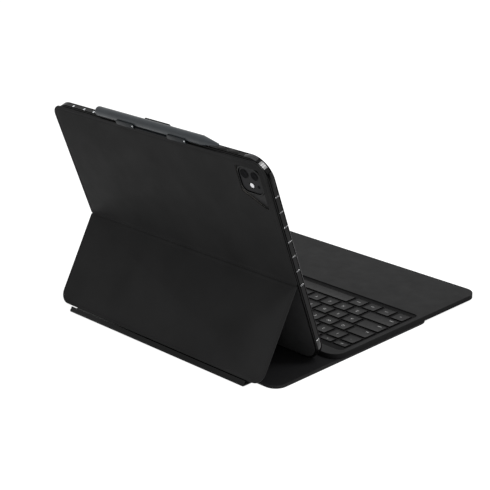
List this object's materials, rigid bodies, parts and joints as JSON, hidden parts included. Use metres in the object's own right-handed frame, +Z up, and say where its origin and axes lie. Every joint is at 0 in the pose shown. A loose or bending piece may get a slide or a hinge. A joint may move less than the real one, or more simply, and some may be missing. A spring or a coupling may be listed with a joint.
{
  "type": "tablet keyboard case",
  "caption": "Folding tablet case standing open for typing: kickstand leg behind a bumper tray that holds a tablet and stylus, with a hinged keyboard sliding on a flat base.",
  "frame": {"origin": "on the table, on the base's underside, in the middle of its width and straight below the foot of the tray's back panel", "axes": "+Z up, +Y backwards away from the person typing, +X to that person's right"},
  "size_m": [0.3004, 0.3076, 0.2195],
  "materials": {
    "cover_soft": "soft-touch, fine grain, matte",
    "palm_soft": "soft-touch, smooth, satin",
    "stiffener": "pressed board, matte",
    "lining": "brushed microfibre",
    "fold_cloth": "soft flexible fold",
    "grip": "matte",
    "magnet": "plated",
    "deck": "fine texture, matte",
    "slab_floor": "fine texture, matte",
    "keycap": "fine texture, satin",
    "dome": "matte",
    "guide": "clear",
    "cell": "foil pouch",
    "circuit": "lacquered",
    "steel": "satin",
    "dark_steel": "black coated, satin",
    "lamp": "clear lens",
    "smoke_clear": "smoked, translucent, glossy",
    "pad": "smoked, glossy",
    "tablet_metal": "dark anodised, satin",
    "screen": "black glass, polished",
    "camera_glass": "dark polished plate",
    "lens": "coated lens",
    "stylus_shell": "slate, satin"
  },
  "bodies": {
    "base": {"base_cover": "cover_soft", "base_board": "stiffener", "base_lining": "lining", "base_magnets": "magnet", "grip_strips": "grip"},
    "keyboard": {"keyboard_floor": "slab_floor", "keyboard_deck": "deck", "keyboard_skin": "palm_soft", "keyboard_screws": "steel", "status_lamp": "lamp", "light_guide": "guide", "dome_sheet": "dome", "battery": "cell", "circuit_board": "circuit", "charging_port": "steel", "hinge_pin": "steel"},
    "power_switch": {"power_slider": "keycap"},
    "tray": {"back_panel_cover": "cover_soft", "back_panel_board": "stiffener", "fold_bead": "fold_cloth", "bumper_back": "smoke_clear", "bumper_frame": "smoke_clear", "camera_rim": "pad", "corner_cushions": "smoke_clear", "stylus_holder": "smoke_clear", "hinge_sleeve": "dark_steel"},
    "volume_up": {"volume_up_pad": "pad"},
    "volume_down": {"volume_down_pad": "pad"},
    "power_button": {"power_pad": "pad"},
    "tablet": {"tablet_housing": "tablet_metal", "tablet_screen": "screen", "camera_plate": "camera_glass", "camera_lenses": "lens"},
    "stylus": {"stylus_barrel": "stylus_shell", "stylus_tip": "stylus_shell"},
    "leg": {"leg_cover": "cover_soft", "leg_board": "stiffener", "leg_lining": "lining", "leg_magnets": "magnet"},
    "spine": {"spine_strip": "fold_cloth"},
    "globe_key": {"globe_key": "keycap"},
    "control_key": {"control_key": "keycap"},
    "option_key": {"option_key": "keycap"},
    "command_key": {"command_key": "keycap"},
    "space_bar": {"space_bar": "keycap"},
    "right_command_keys": {"right_command_keys": "keycap"},
    "arrow_keys": {"arrow_keys": "keycap"},
    "left_shift_key": {"left_shift_key": "keycap"},
    "lower_letter_keys": {"lower_letter_keys": "keycap"},
    "right_shift_key": {"right_shift_key": "keycap"},
    "page_keys": {"page_keys": "keycap"},
    "caps_key": {"caps_key": "keycap"},
    "home_letter_keys": {"home_letter_keys": "keycap"},
    "enter_key": {"enter_key": "keycap"},
    "tab_key": {"tab_key": "keycap"},
    "upper_letter_keys": {"upper_letter_keys": "keycap"},
    "number_keys": {"number_keys": "keycap"},
    "backspace_key": {"backspace_key": "keycap"},
    "escape_key": {"escape_key": "keycap"},
    "function_keys": {"function_keys": "keycap"}
  },
  "joints": [
    {"name": "keyboard_slide", "type": "slide", "parent": "base", "child": "keyboard", "axis": [0, 1, 0], "range_m": [0, 0.0704]},
    {"name": "tray_close", "type": "hinge", "parent": "keyboard", "child": "tray", "pos_m": [0, -0.01208, 0.00527], "axis": [1, 0, 0], "range_deg": [0, 109.4]},
    {"name": "leg_fold", "type": "hinge", "parent": "tray", "child": "leg", "pos_m": [0, 0.02881, 0.08758], "axis": [1, 0, 0], "range_deg": [-48.75, 0]},
    {"name": "spine_fold", "type": "hinge", "parent": "leg", "child": "spine", "pos_m": [0, 0.07446, 0.00655], "axis": [1, 0, 0], "range_deg": [0, 9.45]},
    {"name": "tablet_lift_out", "type": "slide", "parent": "tray", "child": "tablet", "axis": [0, 0.9432, -0.3322], "range_m": [-0.012, 0]},
    {"name": "stylus_lift_out", "type": "slide", "parent": "tray", "child": "stylus", "axis": [0, 0.3322, 0.9432], "range_m": [0, 0.015]},
    {"name": "power_switch_slide", "type": "slide", "parent": "keyboard", "child": "power_switch", "axis": [0, 1, 0], "range_m": [0, 0.002]},
    {"name": "volume_up_press", "type": "slide", "parent": "tray", "child": "volume_up", "axis": [0, -0.3322, -0.9432], "range_m": [0, 0.00035], "stiffness_N_per_m": 500, "springref_m": -0.0003},
    {"name": "volume_down_press", "type": "slide", "parent": "tray", "child": "volume_down", "axis": [0, -0.3322, -0.9432], "range_m": [0, 0.00035], "stiffness_N_per_m": 500, "springref_m": -0.0003},
    {"name": "power_press", "type": "slide", "parent": "tray", "child": "power_button", "axis": [1, 0, 0], "range_m": [0, 0.00035], "stiffness_N_per_m": 500, "springref_m": -0.0003},
    {"name": "globe_key_press", "type": "slide", "parent": "keyboard", "child": "globe_key", "axis": [0, 0, -1], "range_m": [0, 0.0008], "stiffness_N_per_m": 300, "springref_m": -0.0006},
    {"name": "control_key_press", "type": "slide", "parent": "keyboard", "child": "control_key", "axis": [0, 0, -1], "range_m": [0, 0.0008], "stiffness_N_per_m": 300, "springref_m": -0.0006},
    {"name": "option_key_press", "type": "slide", "parent": "keyboard", "child": "option_key", "axis": [0, 0, -1], "range_m": [0, 0.0008], "stiffness_N_per_m": 300, "springref_m": -0.0006},
    {"name": "command_key_press", "type": "slide", "parent": "keyboard", "child": "command_key", "axis": [0, 0, -1], "range_m": [0, 0.0008], "stiffness_N_per_m": 300, "springref_m": -0.0006},
    {"name": "space_bar_press", "type": "slide", "parent": "keyboard", "child": "space_bar", "axis": [0, 0, -1], "range_m": [0, 0.0008], "stiffness_N_per_m": 300, "springref_m": -0.0006},
    {"name": "right_command_keys_press", "type": "slide", "parent": "keyboard", "child": "right_command_keys", "axis": [0, 0, -1], "range_m": [0, 0.0008], "stiffness_N_per_m": 300, "springref_m": -0.0006},
    {"name": "arrow_keys_press", "type": "slide", "parent": "keyboard", "child": "arrow_keys", "axis": [0, 0, -1], "range_m": [0, 0.0008], "stiffness_N_per_m": 300, "springref_m": -0.0006},
    {"name": "left_shift_key_press", "type": "slide", "parent": "keyboard", "child": "left_shift_key", "axis": [0, 0, -1], "range_m": [0, 0.0008], "stiffness_N_per_m": 300, "springref_m": -0.0006},
    {"name": "lower_letter_keys_press", "type": "slide", "parent": "keyboard", "child": "lower_letter_keys", "axis": [0, 0, -1], "range_m": [0, 0.0008], "stiffness_N_per_m": 300, "springref_m": -0.0006},
    {"name": "right_shift_key_press", "type": "slide", "parent": "keyboard", "child": "right_shift_key", "axis": [0, 0, -1], "range_m": [0, 0.0008], "stiffness_N_per_m": 300, "springref_m": -0.0006},
    {"name": "page_keys_press", "type": "slide", "parent": "keyboard", "child": "page_keys", "axis": [0, 0, -1], "range_m": [0, 0.0008], "stiffness_N_per_m": 300, "springref_m": -0.0006},
    {"name": "caps_key_press", "type": "slide", "parent": "keyboard", "child": "caps_key", "axis": [0, 0, -1], "range_m": [0, 0.0008], "stiffness_N_per_m": 300, "springref_m": -0.0006},
    {"name": "home_letter_keys_press", "type": "slide", "parent": "keyboard", "child": "home_letter_keys", "axis": [0, 0, -1], "range_m": [0, 0.0008], "stiffness_N_per_m": 300, "springref_m": -0.0006},
    {"name": "enter_key_press", "type": "slide", "parent": "keyboard", "child": "enter_key", "axis": [0, 0, -1], "range_m": [0, 0.0008], "stiffness_N_per_m": 300, "springref_m": -0.0006},
    {"name": "tab_key_press", "type": "slide", "parent": "keyboard", "child": "tab_key", "axis": [0, 0, -1], "range_m": [0, 0.0008], "stiffness_N_per_m": 300, "springref_m": -0.0006},
    {"name": "upper_letter_keys_press", "type": "slide", "parent": "keyboard", "child": "upper_letter_keys", "axis": [0, 0, -1], "range_m": [0, 0.0008], "stiffness_N_per_m": 300, "springref_m": -0.0006},
    {"name": "number_keys_press", "type": "slide", "parent": "keyboard", "child": "number_keys", "axis": [0, 0, -1], "range_m": [0, 0.0008], "stiffness_N_per_m": 300, "springref_m": -0.0006},
    {"name": "backspace_key_press", "type": "slide", "parent": "keyboard", "child": "backspace_key", "axis": [0, 0, -1], "range_m": [0, 0.0008], "stiffness_N_per_m": 300, "springref_m": -0.0006},
    {"name": "escape_key_press", "type": "slide", "parent": "keyboard", "child": "escape_key", "axis": [0, 0, -1], "range_m": [0, 0.0008], "stiffness_N_per_m": 300, "springref_m": -0.0006},
    {"name": "function_keys_press", "type": "slide", "parent": "keyboard", "child": "function_keys", "axis": [0, 0, -1], "range_m": [0, 0.0008], "stiffness_N_per_m": 300, "springref_m": -0.0006}
  ],
  "couplings": [
    {"joint": "keyboard_slide", "follows": "tray_close", "m_per_rad": 0.036817},
    {"joint": "leg_fold", "follows": "tray_close", "ratio": -0.44519},
    {"joint": "spine_fold", "follows": "tray_close", "ratio": 0.085394}
  ]
}
